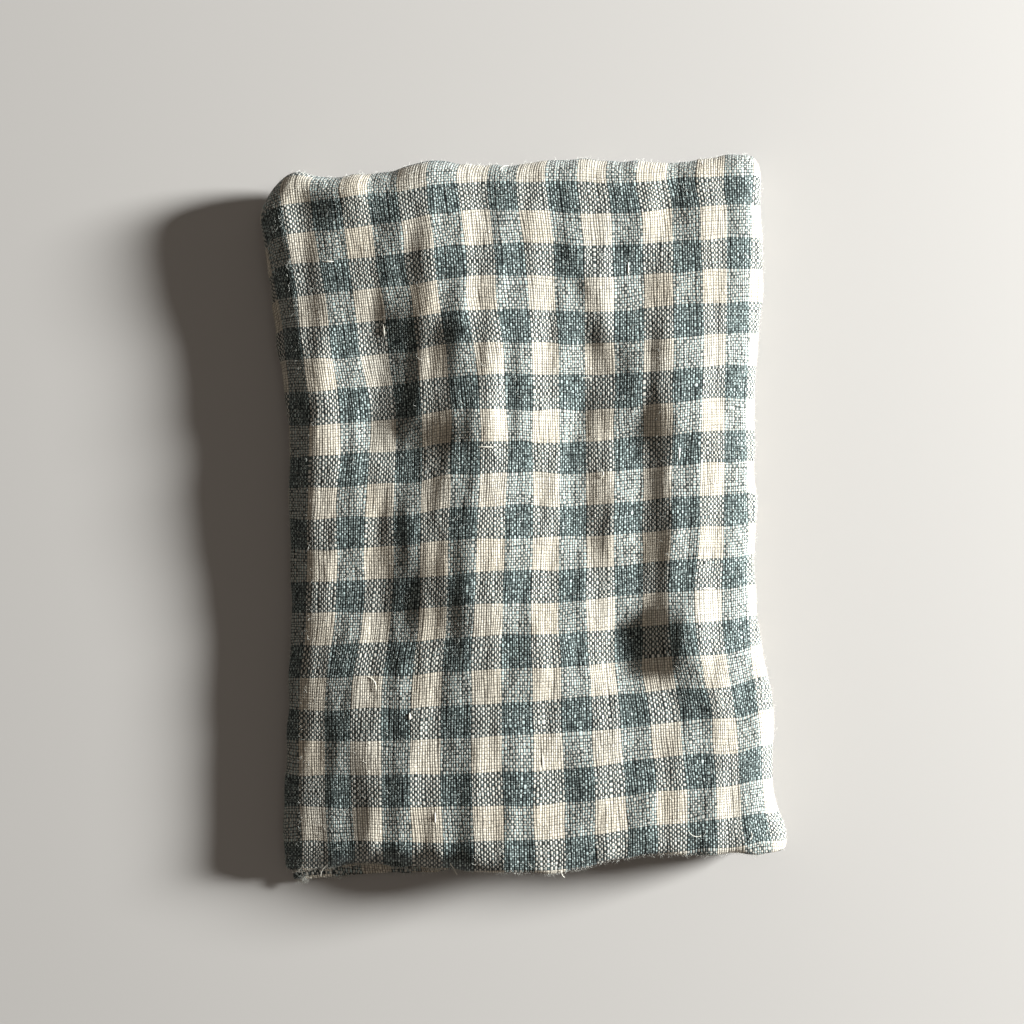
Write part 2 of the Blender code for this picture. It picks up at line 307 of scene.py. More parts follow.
def smooth(v):
    v = np.clip(v, 0.0, 1.0)
    return v * v * (3 - 2 * v)


def column(table, name_index):
    rows = sorted(table)
    return np.array([r[0] for r in rows]), np.array([r[name_index] for r in rows])


def along(v, table, name_index):
    """Smooth curve through one column of a table, flat past its ends."""
    x, y = column(table, name_index)
    v = np.clip(v, x[0], x[-1])
    slope = np.gradient(y, x)
    i = np.clip(np.searchsorted(x, v, side="right") - 1, 0, len(x) - 2)
    h = x[i + 1] - x[i]
    u = (v - x[i]) / h
    return (
        y[i] * (1 + 2 * u) * (1 - u) ** 2
        + slope[i] * h * u * (1 - u) ** 2
        + y[i + 1] * u * u * (3 - 2 * u)
        + slope[i + 1] * h * u * u * (u - 1)
    )


def side_lines(t):
    """Where both side folds lie at t, in the packet (x) and on the bag (s)."""
    theta = np.clip((t - T_UP) / TOP_R, 0.0, math.pi)
    y = np.where(t < T_UP, BAG_END + t, FOLD_Y - (t - T_DOWN))
    y = np.where((t >= T_UP) & (t <= T_DOWN), FOLD_Y + STRIP * np.sin(theta), y)
    lower = smooth((t - T_UP) / (T_DOWN - T_UP))
    left = along(y, EDGES, 1) + lower * along(y, LOWER_IN, 1)
    right = along(y, EDGES, 2) - lower * along(y, LOWER_IN, 2)
    shift = along(y, EDGES, 3) * (1 - lower)
    take_up = along(y, EDGES, 4)
    left, right = left + SIDE_R + HALF_BAG, right - SIDE_R - HALF_BAG
    return left, right, (left - shift) / take_up, (right - shift) / take_up, shift, take_up


def turn_sides(s, t, a):
    """The flat bag (s across, t along, a through) with its sides folded behind."""
    left, right, s_left, s_right, shift, take_up = side_lines(t)
    arc = math.pi * SIDE_R
    flap_left = BAG_WIDTH / 2 + s_left - arc
    flap_right = BAG_WIDTH / 2 - s_right - arc
    end_left, end_right = left + flap_left, right - flap_right
    middle = (end_left + end_right) / 2
    apart = (end_right - end_left) / 2
    apart = SEAM_GAP + np.where(
        apart - SEAM_GAP > 8, apart - SEAM_GAP, np.log1p(np.exp(np.minimum(apart - SEAM_GAP, 8)))
    )
    pull_left = (middle - apart - left) / flap_left
    pull_right = (right - middle - apart) / flap_right

    x = shift + take_up * s
    h = a.copy()
    for sign, at, fold, pull in (
        (-1, left, s_left, pull_left),
        (1, right, s_right, pull_right),
    ):
        past = sign * (s - fold)
        phi = np.clip(past, 0, arc) / SIDE_R
        turning = (past > 0) & (past <= arc)
        x = np.where(turning, at + sign * (SIDE_R + a) * np.sin(phi), x)
        h = np.where(turning, -SIDE_R + (SIDE_R + a) * np.cos(phi), h)
        behind = past > arc
        x = np.where(behind, at - sign * (past - arc) * pull, x)
        h = np.where(behind, -2 * SIDE_R - a, h)
    return x, h


def halve(t, h):
    """The strip bent round its crosswise fold, its smooth face outside."""
    k = h + SIDE_R
    theta = np.clip((t - T_UP) / TOP_R, 0.0, math.pi)
    y = FOLD_Y + np.minimum(t - T_UP, 0.0) + (TOP_R + k) * np.sin(theta)
    y = np.where(t > T_DOWN, FOLD_Y - (t - T_DOWN), y)
    z = (TOP_R + k) * np.cos(theta) + STACK / 2
    return y, z


def ripple(v, seed, shortest, longest, count=5):
    """A smooth uneven wave of v, about -1 to 1, the same each run."""
    rng = np.random.default_rng(seed)
    out = np.zeros_like(v)
    for n in range(count):
        length = longest * (shortest / longest) ** (n / max(count - 1, 1))
        out += math.sqrt(length / longest) * np.sin(
            2 * math.pi * (v / (length * rng.uniform(0.85, 1.15)) + rng.uniform())
        )
    return out / 1.9


def ripple2(x, y, seed, across, lengthways, count=7):
    """A smooth uneven surface, about -1 to 1, of waves that run mostly along y."""
    rng = np.random.default_rng(seed)
    out = np.zeros_like(x)
    for _ in range(count):
        kx = rng.choice([-1, 1]) * rng.uniform(0.6, 1.3) / across
        ky = rng.normal(0, 1) / lengthways
        out += np.sin(2 * math.pi * (kx * x + ky * y + rng.uniform()))
    return out / math.sqrt(count) / 1.2


def along_line(x, y, x1, y1, x2, y2, fade):
    """How far across a line a point lies, and its fading past the line's ends."""
    length = math.hypot(x2 - x1, y2 - y1)
    cx, cy = (x2 - x1) / length, (y2 - y1) / length
    reach = (x - x1) * cx + (y - y1) * cy
    past = np.maximum(np.maximum(-reach, reach - length), 0.0) / fade
    return (x - x1) * cy - (y - y1) * cx, np.exp(-0.9 * past**2)


def rolled(inside):
    out = np.clip(1 - inside / ROLL_WIDTH, 0, 0.93)
    return (1 - np.sqrt(1 - out**2)) / 0.632


def relief(x, y):
    height = CROWN * (1 - (x / 84.0) ** 2) * (1 - (y / 122.0) ** 2)
    height = height + 1.3 * smooth((20.0 - y) / 70.0)
    for x1, y1, x2, y2, half_width, fade, rise in PLEATS:
        across, fading = along_line(x, y, x1, y1, x2, y2, fade)
        height = height + rise * np.exp(-0.7 * (across / half_width) ** 2) * fading
    for x1, y1, x2, y2, half_width, fade, step, low_reach, high_reach in CREASES:
        across, fading = along_line(x, y, x1, y1, x2, y2, fade)
        if y2 < y1:
            across = -across
        part = np.clip(across / half_width, -1, 1)
        turn = 0.6 * part + 0.4 * np.sin(0.5 * math.pi * part)
        high = (1 + turn) * np.exp(-((np.maximum(across, 0) / high_reach) ** 2))
        low = (1 - turn) * np.exp(-((np.maximum(-across, 0) / low_reach) ** 2))
        height = height + 0.25 * step * (high - low) * fading
    left, right = along(y, EDGES, 1), along(y, EDGES, 2)
    for inside, k in ((x - left, 1), (right - x, 4)):
        start, drop, roll = (along(y, SHOULDERS, k + n) for n in range(3))
        height = height - drop * np.clip(1 - inside / start, 0, 1.1) ** 1.3
        height = height - roll * rolled(inside)
    height = height - along(x, END_ROLL, 1) * rolled(y - BAG_END - along(x, END_WAVE, 1))
    waist = np.exp(-(((y - 2.0) / 70.0) ** 2))
    height = height + 0.26 * ripple2(x, y, 5, 13.0, 60.0)
    height = height + 0.13 * (0.5 + waist) * ripple2(x, y, 8, 6.5, 32.0, 9)
    return height


def fold(s, t, a):
    """A point of the flat bag, in the folded packet."""
    x, h = turn_sides(s, t, a)
    y, z = halve(t, h)
    lower = smooth((t - T_UP) / (T_DOWN - T_UP))
    ends = along(x, END_WAVE, 1) * (1 - lower) + along(x, END_WAVE, 2) * lower
    y2 = y + along(x, TOP_WAVE, 1) * smooth((y - 25.0) / 88.0)
    y2 = y2 + ends * smooth((10.0 - y) / 118.0)
    up = z / STACK
    upper = smooth((z - 6.0) / 8.0)
    # Uneven side edges, not the same above and below.
    edge = smooth((np.abs(x) - 52.0) / 22.0) * np.sign(x)
    side = np.where(x < 0, ripple(y, 11, 14, 60), ripple(y, 12, 14, 60))
    below = np.where(x < 0, ripple(y, 13, 11, 50), ripple(y, 14, 11, 50))
    out = np.where(x < 0, along(y, EDGE_OUT, 1), along(y, EDGE_OUT, 2))
    x2 = x + edge * (0.45 * side * upper + 0.8 * (below - 0.6) * (1 - upper) + out)
    # Uneven ends: each layer lies a little further in or out.
    toward_end = smooth((-70.0 - y) / 44.0)
    y2 = y2 + toward_end * (
        0.5 * ripple(x, 21, 9, 40) * upper
        + 0.9 * ripple(x, 22, 12, 60) * (1 - upper)
        + 1.3 * np.sin(z * 1.1 + 0.03 * x) * np.sin(math.pi * np.clip(up, 0, 1)) ** 2
    )
    toward_fold = smooth((y - 88.0) / 24.0)
    y2 = y2 + toward_fold * 0.35 * ripple(x, 23, 7, 30)
    # Layers wave gently between the flat underside and the upper face.
    between = np.sin(math.pi * np.clip(up, 0, 1))
    z2 = z + 0.9 * between * ripple2(x, y2, 31, 46.0, 70.0, 6)
    z2 = z2 * (1 + FOLD_SWELL * smooth((y - 55.0) / 50.0))
    z2 = z2 + relief(x2, y2) * np.maximum(up, 0.0) ** 1.2
    return x2 - CENTRE[0], y2 - CENTRE[1], z2


# ---------------------------------------------------------------------------
# Threads: u counts warp threads across, v counts weft threads up the face
# ---------------------------------------------------------------------------
def face_threads(x, y, z):
    """Which threads cross at a point of the upper face, seen from above."""
    near = (EYE_HEIGHT - OUTLINE_HEIGHT) / (EYE_HEIGHT - z)
    px = EYE[0] + ((x + CENTRE[0]) - EYE[0]) * near
    py = EYE[1] + ((y + CENTRE[1]) - EYE[1]) * near
    lines = np.array([along(py, COLUMNS, k) for k in range(1, 11)])
    count = CHECK * np.array([1] + [2 * k for k in range(1, 10)])
    k = np.clip((lines <= px).sum(axis=0) - 1, 0, len(lines) - 2)
    pick = np.arange(len(px))
    part = (px - lines[k, pick]) / (lines[k + 1, pick] - lines[k, pick])
    u = count[k] + part * (count[k + 1] - count[k])
    level = np.array(sorted(SAG_LEVELS))
    sag = np.array([along(px, ROW_SAG, 4 - n) for n in range(4)])
    n = np.clip(np.searchsorted(level, py, side="right") - 1, 0, 2)
    part = smooth((py - level[n]) / (level[n + 1] - level[n]))
    part = 0.5 * part + 0.5 * np.clip((py - level[n]) / (level[n + 1] - level[n]), 0, 1)
    row_y = py + sag[n, pick] * (1 - part) + sag[n + 1, pick] * part
    rows = np.array(ROWS)
    v = CHECK * np.interp(row_y, rows, np.arange(len(rows)))
    v = np.where(row_y < rows[0], (row_y - rows[0]) / WEFT_PITCH, v)
    v = np.where(row_y > rows[-1], v + (row_y - rows[-1]) / WEFT_PITCH, v)
    return u, v


def threads(s, t, front):
    """The threads at any point of the bag, its back running on round the bottom."""
    _, _, s_left, s_right, _, _ = side_lines(t)
    reach, arc = 0.44 * SIDE_R, math.pi * SIDE_R
    t_in = np.minimum(t, T_UP + 0.36 * TOP_R)
    s_in = np.clip(s, s_left - reach, s_right + reach)
    u, v = face_threads(*fold(s_in, t_in, np.full(len(s), OUTSIDE)))
    round_side = (SIDE_R + OUTSIDE) / SIDE_R
    for sign, past in ((-1, s_left - reach - s), (1, s - s_right - reach)):
        past = np.maximum(past, 0)
        rolled = np.minimum(past, arc - reach)
        u = u + sign * (rolled * round_side + past - rolled) / WARP_PITCH
    past = np.maximum(t - t_in, 0)
    rolled = np.minimum(past, T_DOWN - T_UP - 0.36 * TOP_R)
    round_top = (TOP_R + SIDE_R + OUTSIDE) / TOP_R
    v = v + (rolled * round_top + past - rolled) / WEFT_PITCH
    # Where the lower left side is turned in, the check has slipped a little.
    turned = smooth((s_left - reach - s) / 30.0)
    v = v - 5.0 * turned * smooth((t - 330.0) / 100.0)
    if front:
        return u, v
    return u, -4.0 - v


# ---------------------------------------------------------------------------
# The cloth
# ---------------------------------------------------------------------------
def pinch(distance, radius):
    return np.sqrt(np.clip(1 - (1 - np.clip(distance / radius, 0, 1)) ** 2, 0, 1))


def stations(lengths_and_steps):
    out = [0.0]
    for length, steps in lengths_and_steps:
        out += [out[-1] + length * (i + 1) / steps for i in range(steps)]
    return np.array(out)


def stations_across(t):
    """Each row's own stations: side edge, turned-in side, fold, face, and back."""
    _, _, s_left, s_right, _, _ = side_lines(t)
    half, arc = BAG_WIDTH / 2, math.pi * SIDE_R
    inner = np.arange(FLAP_STEPS + 1) / FLAP_STEPS
    columns = [np.full(len(t), -half), np.full(len(t), -half + 0.3 * MID)]
    length = half + s_left - arc
    columns += [-half + MID + q * (length - MID) for q in inner]
    columns += [s_left - arc + arc * q / SIDE_STEPS for q in range(1, SIDE_STEPS + 1)]
    columns += [s_left + (s_right - s_left) * q / FACE_STEPS for q in range(1, FACE_STEPS + 1)]
    columns += [s_right + arc * q / SIDE_STEPS for q in range(1, SIDE_STEPS + 1)]
    length = half - s_right - arc
    columns += [half - MID - q * (length - MID) for q in inner[::-1][1:]]
    columns += [np.full(len(t), half - 0.3 * MID), np.full(len(t), half)]
    return np.column_stack(columns)


def flat_cloth():
    long_half = stations(
        [
            (0.3 * MID, 1),
            (0.7 * MID, 1),
            (T_UP - MID, UPPER_STEPS),
            (T_DOWN - T_UP, FOLD_STEPS),
            (BAG_LENGTH - T_DOWN - HEM_DEPTH, LOWER_STEPS),
            (1.0, 1),
            (HEM_DEPTH - 1.8, 3),
            (0.8, 1),
        ]
    )
    across_steps = 2 * (FLAP_STEPS + 2 + SIDE_STEPS) + FACE_STEPS
    rows = 2 * (len(long_half) - 1)
    bpy.ops.mesh.primitive_grid_add(x_subdivisions=across_steps, y_subdivisions=rows, size=2)
    bag = bpy.context.active_object
    mesh = bag.data
    flat = np.empty(len(mesh.vertices) * 3)
    mesh.vertices.foreach_get("co", flat)
    flat = flat.reshape(-1, 3)
    i = np.rint((flat[:, 0] + 1) / 2 * across_steps).astype(int)
    j = np.rint((flat[:, 1] + 1) / 2 * rows).astype(int) - rows // 2
    t = long_half[np.abs(j)]
    s = stations_across(long_half)[np.abs(j), i]
    half = BAG_WIDTH / 2
    apart = MID * pinch(half - np.abs(s), MID) * pinch(t, MID)
    a = np.where(j > 0, -apart, apart)
    mesh.vertices.foreach_set("co", np.column_stack([s, t, a]).ravel())
    mesh.update()
    bm = bmesh.new()
    bm.from_mesh(mesh)
    bmesh.ops.remove_doubles(bm, verts=bm.verts, dist=0.01)
    bmesh.ops.recalc_face_normals(bm, faces=bm.faces)
    bm.to_mesh(mesh)
    bm.free()
    shell = bag.modifiers.new("cloth", "SOLIDIFY")
    shell.thickness = PLY
    shell.offset = 0.0
    shell.use_rim = True
    graph = bpy.context.evaluated_depsgraph_get()
    made = bpy.data.meshes.new_from_object(bag.evaluated_get(graph))
    bpy.data.objects.remove(bag, do_unlink=True)
    return made


def loops_of(mesh):
    """(vertex of each loop, face of each loop)"""
    vertex = np.empty(len(mesh.loops), int)
    mesh.loops.foreach_get("vertex_index", vertex)
    count = np.empty(len(mesh.polygons), int)
    mesh.polygons.foreach_get("loop_total", count)
    return vertex, np.repeat(np.arange(len(mesh.polygons)), count)


def set_uv(mesh, name, u, v):
    layer = mesh.uv_layers.new(name=name, do_init=False)
    layer.data.foreach_set("uv", np.column_stack([u, v]).astype(np.float32).ravel())


def cloth():
    mesh = flat_cloth()
    co = np.empty(len(mesh.vertices) * 3)
    mesh.vertices.foreach_get("co", co)
    co = co.reshape(-1, 3)
    s, t, a = co[:, 0].copy(), co[:, 1].copy(), co[:, 2].copy()

    # The hem is a little thicker, towards the inside.
    hem = smooth((t - (BAG_LENGTH - HEM_DEPTH)) / 1.0)
    inside = np.abs(a) < MID
    a = a - np.sign(a) * hem * 0.25 * inside

    # Threads, a map of each loop: front and back meet at the seams.
    vertex, face = loops_of(mesh)
    normal_a = np.empty(len(mesh.polygons) * 3)
    mesh.polygons.foreach_get("center", normal_a)
    middle = normal_a.reshape(-1, 3)
    front = middle[face, 2] > 0
    lu, lv = np.empty(len(vertex)), np.empty(len(vertex))
    for is_front in (True, False):
        pick = front == is_front
        lu[pick], lv[pick] = threads(s[vertex[pick]], t[vertex[pick]], is_front)
    set_uv(mesh, "threads", lu, lv)

    # Room for the export: the seen face gets most of it.
    outer = np.abs(middle[:, 2]) > MID
    rim = middle[:, 1] > BAG_LENGTH - 1e-3
    seam = (np.abs(middle[:, 0]) > BAG_WIDTH / 2) | (middle[:, 1] < 0)
    _, _, s_left, s_right, _, _ = side_lines(t)
    arc = math.pi * SIDE_R
    face_s = np.clip(s, s_left - arc, s_right + arc)
    across = (face_s + 95.0) + 0.12 * (s - face_s) + 10.0
    row = np.where(t < T_DOWN, t + 3.0, T_DOWN + 3.0 + 0.38 * (t - T_DOWN))
    size = 325.0
    u, v = across[vertex] / size, row[vertex] / size
    wide, high = 118.0 / 322.0, 100.0 / 460.0
    for n, kind in enumerate(
        (outer & (middle[:, 2] < 0), ~outer & (middle[:, 2] > 0), ~outer & (middle[:, 2] <= 0))
    ):
        pick = kind[face]
        u = np.where(pick, (204.0 + (s[vertex] + 160.0) * wide) / size, u)
        v = np.where(pick, (2.0 + n * 104.0 + (t[vertex] + 3.0) * high) / size, v)
    pick = rim[face]
    u = np.where(pick, (204.0 + (s[vertex] + 160.0) * wide) / size, u)
    v = np.where(pick, (316.0 + a[vertex] * 1.2 + 3.0) / size, v)
    set_uv(mesh, "OFBake", u, v)
    mesh.uv_layers.active = mesh.uv_layers["OFBake"]

    x, y, z = fold(s, t, a)
    z = np.maximum(z, 0.02)
    mesh.vertices.foreach_set("co", (np.column_stack([x, y, z]) * MM).ravel())
    mesh.update()
    mesh.shade_smooth()
    mesh.name = "linen_bag"
    bag = bpy.data.objects.new("linen_bag", mesh)
    bpy.context.scene.collection.objects.link(bag)
    return bag


# ---------------------------------------------------------------------------
# Lint, loose threads and the hem's stitches
# ---------------------------------------------------------------------------
LINT = [
    # name, number, shortest, longest, lift
    ("face", 1500, 1.2, 3.6, 0.5),
    ("left side", 650, 0.8, 2.4, 1.3),
    ("right side", 650, 0.8, 2.4, 1.3),
    ("fold", 520, 0.8, 2.0, 1.2),
    ("closed end", 1100, 0.7, 2.2, 0.8),
    ("mouth", 760, 0.7, 2.4, 0.8),
    ("mouth corner", 1300, 0.8, 2.6, 1.0),
]
LOOSE = [
    # x, y, heading, length, curl, lift, radius
    (-23.4, -111.6, -75.0, 5.0, 25.0, 0.3, 0.20),
    (-50.6, -51.6, -4.0, 7.0, -110.0, 0.40, 0.12),
    (-62.0, -113.0, -150.0, 5.0, 70.0, 0.6, 0.12),
    (-70.0, -112.0, -100.0, 4.2, -60.0, 0.6, 0.12),
    (52.0, -106.0, -60.0, 4.6, 90.0, 0.6, 0.11),
    (71.0, -106.4, -80.0, 3.4, -70.0, 0.5, 0.11),
    (12.0, -113.0, -95.0, 2.8, 60.0, 0.4, 0.11),
    (-8.0, 108.0, 70.0, 3.0, -60.0, 0.6, 0.11),
    (56.0, 108.0, 100.0, 2.8, 80.0, 0.6, 0.11),
    (24.0, 12.0, 30.0, 4.0, 120.0, 0.5, 0.11),
]
SLUBS = [
    # x, y, along (0 warp, 1 weft), length, radius
    (-36.1, -64.2, 0, 2.6, 0.42),
    (-44.4, 60.2, 0, 4.6, 0.25),
    (-12.0, 22.0, 1, 6.0, 0.26),
    (33.0, 78.0, 0, 5.0, 0.18),
    (58.0, -24.0, 1, 5.0, 0.26),
    (6.0, -78.0, 0, 6.0, 0.26),
    (-62.0, 84.0, 1, 4.0, 0.26),
    (49.0, 20.0, 0, 5.0, 0.20),
    (-28.0, -96.0, 0, 4.0, 0.20),
    (20.0, 44.0, 1, 4.0, 0.16),
]
STITCH_EVERY, STITCH_LONG, STITCH_RADIUS = 3.2, 2.5, 0.15


def strands(name, paths, radii, sides):
    """Closed tubes, one along each of the paths, as one mesh; in millimetres."""
    count, points, _ = paths.shape
    ahead = np.gradient(paths, axis=1)
    ahead = ahead / (np.linalg.norm(ahead, axis=2, keepdims=True) + 1e-9)
    steep = np.abs(ahead.mean(axis=1))[:, None, 2:3] > 0.8
    up = np.where(steep, np.array([1.0, 0.0, 0.0]), np.array([0.0, 0.0, 1.0]))
    side = np.cross(ahead, np.broadcast_to(up, ahead.shape))
    side = side / (np.linalg.norm(side, axis=2, keepdims=True) + 1e-9)
    other = np.cross(ahead, side)
    turn = 2 * math.pi * np.arange(sides) / sides
    ring = paths[:, :, None] + radii[:, :, None, None] * (
        np.cos(turn)[:, None] * side[:, :, None] + np.sin(turn)[:, None] * other[:, :, None]
    )
    ring[..., 2] = np.maximum(ring[..., 2], 0.03)
    first = (np.arange(count) * points * sides)[:, None]
    k = np.arange(sides)
    at = first[:, :, None] + (np.arange(points - 1) * sides)[None, :, None]
    n = (k + 1) % sides
    quads = np.stack([at + k, at + n, at + sides + n, at + sides + k], axis=-1).reshape(-1, 4)
    caps = np.concatenate([first + k[::-1], first + (points - 1) * sides + k])
    mesh = bpy.data.meshes.new(name)
    mesh.from_pydata((ring.reshape(-1, 3) * MM).tolist(), [], quads.tolist() + caps.tolist())
    mesh.update()
    mesh.shade_smooth()
    piece = bpy.data.objects.new(name, mesh)
    bpy.context.scene.collection.objects.link(piece)
    return piece


def lint():
    """Short fibres that stand off the cloth, most of them along its edges."""
    rng = np.random.default_rng(41)
    q = np.linspace(0.0, 1.0, 4)
    paths, radii = [], []
    for where, number, shortest, longest, lift in LINT:
        length = rng.uniform(shortest, longest, number)
        heading = rng.uniform(0, 2 * math.pi, number)
        curl = rng.normal(0, 1.1, number)
        turned = heading[:, None] + curl[:, None] * q
        ds = length[:, None] * q * np.cos(turned)
        dt = length[:, None] * q * np.sin(turned)
        rise = lift * rng.uniform(0.25, 1.0, number)[:, None] * q**1.2
        if where in ("closed end", "mouth", "mouth corner"):
            s = rng.uniform(-78.0, 78.0, number)
            if where == "mouth corner":
                s = rng.uniform(-79.0, -48.0, number)
            a = rng.uniform(-1.5, 1.5, number)[:, None] * (1 + 0.3 * q)
            out = length[:, None] * q * rng.uniform(0.4, 1.0, number)[:, None]
            s = s[:, None] + 0.6 * ds
            t = -out + 0.2 if where == "closed end" else BAG_LENGTH + out - 0.2
            a = a + 0.5 * rise * np.sin(3.0 * heading)[:, None]
        else:
            t = rng.uniform(1.0, T_UP, number)
            if where == "fold":
                t = rng.uniform(T_UP - 2.0, T_UP + 0.75 * math.pi * TOP_R, number)
            _, _, s_left, s_right, _, _ = side_lines(t)
            arc = math.pi * SIDE_R
            low, high = s_left, s_right
            if where == "left side":
                low, high = s_left - 0.75 * arc, s_left + 2.5
            elif where == "right side":
                low, high = s_right - 2.5, s_right + 0.75 * arc
            s = rng.uniform(0.0, 1.0, number) * (high - low) + low
            s, t, a = s[:, None] + 0.7 * ds, t[:, None] + 0.7 * dt, OUTSIDE - 0.06 + rise
        x, y, z = fold(s.ravel(), t.ravel(), a.ravel())
        paths.append(np.column_stack([x, y, z]).reshape(number, len(q), 3))
        thick = rng.uniform(0.026, 0.050, number)
        radii.append(thick[:, None] * (1 - 0.55 * q))
    return strands("lint_fibres", np.concatenate(paths), np.concatenate(radii), 3)


def on_face(x, y):
    """The flat bag's s and t under a place on the upper face."""
    y = np.asarray(y, float)
    return (x - along(y, EDGES, 3)) / along(y, EDGES, 4), y - BAG_END


def loose_threads():
    q = np.linspace(0.0, 1.0, 9)
    paths, radii = [], []
    for x, y, heading, length, curl, lift, radius in LOOSE:
        angle = np.radians(heading + curl * q)
        dx = np.concatenate([[0.0], np.cumsum(np.cos(angle[:-1]))]) * length / 8
        dy = np.concatenate([[0.0], np.cumsum(np.sin(angle[:-1]))]) * length / 8
        s, t = on_face(x + dx, np.full(9, y))
        a = OUTSIDE - 0.08 + lift * np.sin(2.4 * q)
        paths.append(np.column_stack(fold(s, t + dy, a)))
        radii.append(radius * (0.75 + 0.25 * np.sin(math.pi * q)))
    for x, y, weft, length, radius in SLUBS:
        run = length * (q - 0.5)
        s, t = on_face(x + weft * run, np.full(9, y))
        bulge = np.sin(math.pi * q)
        a = OUTSIDE - 0.10 + 0.08 * bulge
        paths.append(np.column_stack(fold(s, t + (1 - weft) * run, a)))
        radii.append(0.03 + radius * bulge**0.8)
    return strands("loose_threads", np.array(paths), np.array(radii), 6)


def hem_stitches():
    """One row through each side of the mouth's hem."""
    q = np.linspace(0.0, 1.0, 4)
    start = np.arange(-151.0, 148.0, STITCH_EVERY)
    paths = []
    for sign in (1, -1):
        s = start[:, None] + STITCH_LONG * q
        t = np.full_like(s, BAG_LENGTH - HEM_DEPTH + 1.7)
        a = sign * (OUTSIDE - 0.04 + 0.08 * np.sin(math.pi * q)) + 0 * s
        x, y, z = fold(s.ravel(), t.ravel(), a.ravel())
        paths.append(np.column_stack([x, y, z]).reshape(len(start), 4, 3))
    paths = np.concatenate(paths)
    return strands("hem_stitches", paths, np.full(paths.shape[:2], STITCH_RADIUS), 5)


# ---------------------------------------------------------------------------
# Finish
# ---------------------------------------------------------------------------
class Tree:
    """Short ways to write a material's nodes."""

    def __init__(self, material):
        material.use_nodes = True
        self.tree = material.node_tree
        self.nodes = self.tree.nodes
        self.shader = self.nodes["Principled BSDF"]

    def link(self, source, socket):
        self.tree.links.new(source, socket)

    def put(self, socket, value):
        if hasattr(value, "is_output"):
            self.link(value, socket)
        else:
            socket.default_value = value

    def math(self, op, a, b=0.0, c=0.0, clamp=False):
        node = self.nodes.new("ShaderNodeMath")
        node.operation = op
        node.use_clamp = clamp
        for socket, value in zip(node.inputs, (a, b, c)):
            self.put(socket, value)
        return node.outputs[0]

    def vector(self, x, y, z=0.0):
        node = self.nodes.new("ShaderNodeCombineXYZ")
        for socket, value in zip(node.inputs, (x, y, z)):
            self.put(socket, value)
        return node.outputs[0]

    def noise(self, where, scale=1.0, detail=0.0, rough=0.5):
        node = self.nodes.new("ShaderNodeTexNoise")
        node.noise_dimensions = "3D"
        self.put(node.inputs["Vector"], where)
        node.inputs["Scale"].default_value = scale
        node.inputs["Detail"].default_value = detail
        node.inputs["Roughness"].default_value = rough
        return node.outputs["Fac"]

    def spread(self, value, low, high, to_low=0.0, to_high=1.0, kind="LINEAR"):
        node = self.nodes.new("ShaderNodeMapRange")
        node.interpolation_type = kind
        for socket, number in zip(node.inputs, (value, low, high, to_low, to_high)):
            self.put(socket, number)
        return node.outputs["Result"]

    def mix(self, factor, a, b, blend="MIX"):
        node = self.nodes.new("ShaderNodeMix")
        node.data_type = "RGBA"
        node.blend_type = blend
        self.put(node.inputs["Factor"], factor)
        self.put(node.inputs["A"], a)
        self.put(node.inputs["B"], b)
        return node.outputs["Result"]


PALE = (0.760, 0.724, 0.648, 1.0)
# Grey that pale threads beside dyed ones are dimmed towards: painted shade.
PALE_PAINTED_SHADE = (0.300, 0.310, 0.290, 1.0)
# Warmer pale: for random tone, and for painted warm bounce light on pale on pale.
PALE_WARM = (0.740, 0.640, 0.505, 1.0)
SLATE = (0.016, 0.026, 0.024, 1.0)
# Painted highlight on the crests of dyed threads.
SLATE_PAINTED_HIGHLIGHT = (0.400, 0.470, 0.448, 1.0)
FLECK = (0.640, 0.690, 0.655, 1.0)


